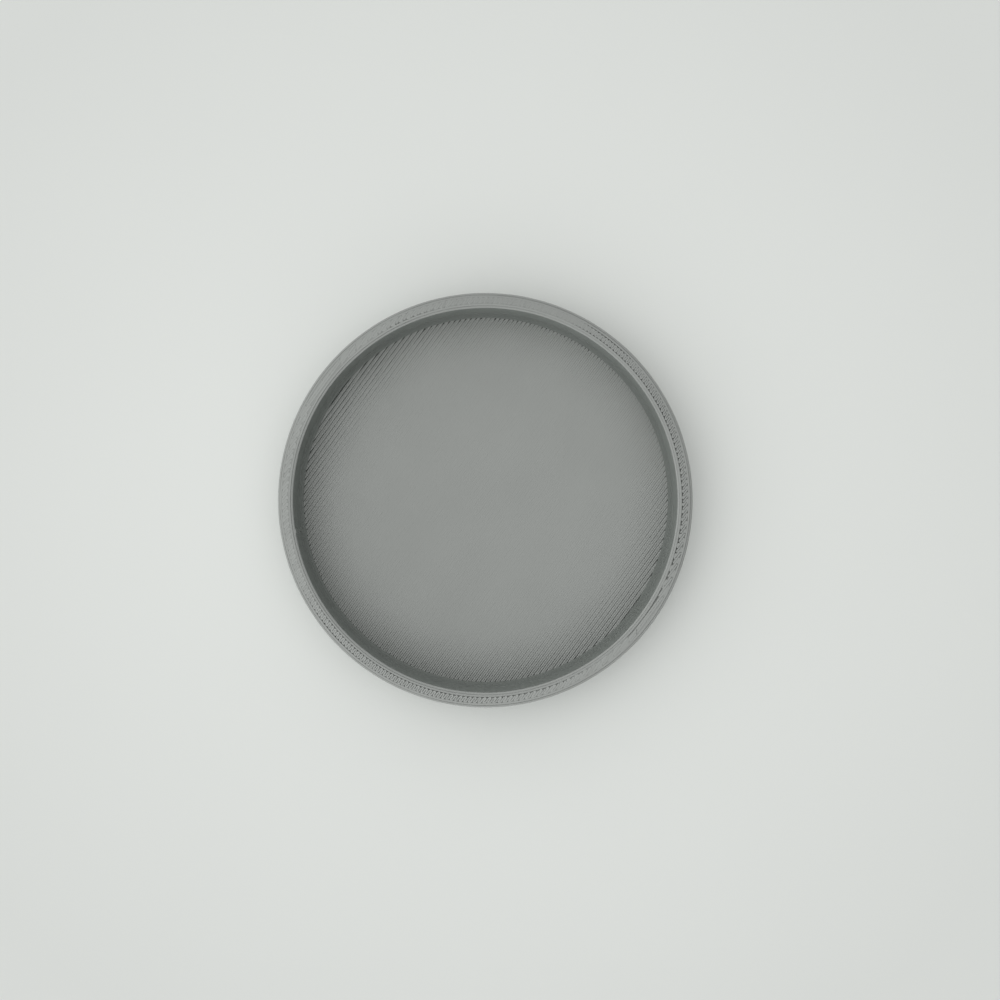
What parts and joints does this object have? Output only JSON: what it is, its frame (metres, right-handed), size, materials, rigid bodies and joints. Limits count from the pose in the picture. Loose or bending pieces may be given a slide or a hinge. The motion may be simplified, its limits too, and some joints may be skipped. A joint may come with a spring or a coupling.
{
  "type": "key tray",
  "caption": "Shallow round printed tray with an open well for keys and small things, on stick-on rubber feet.",
  "frame": {"origin": "on the dish's axis, on the surface that the feet stand on", "axes": "+Z up along the dish's axis, +X to the right and +Y up in the picture"},
  "size_m": [0.0776, 0.0776, 0.0097],
  "materials": {
    "dish": "printed in 0.2 mm layers, satin grey",
    "foot": "matte black"
  },
  "bodies": {
    "root": {"dish": "dish", "foot_1": "foot", "foot_2": "foot", "foot_3": "foot", "foot_4": "foot"}
  },
  "joints": []
}
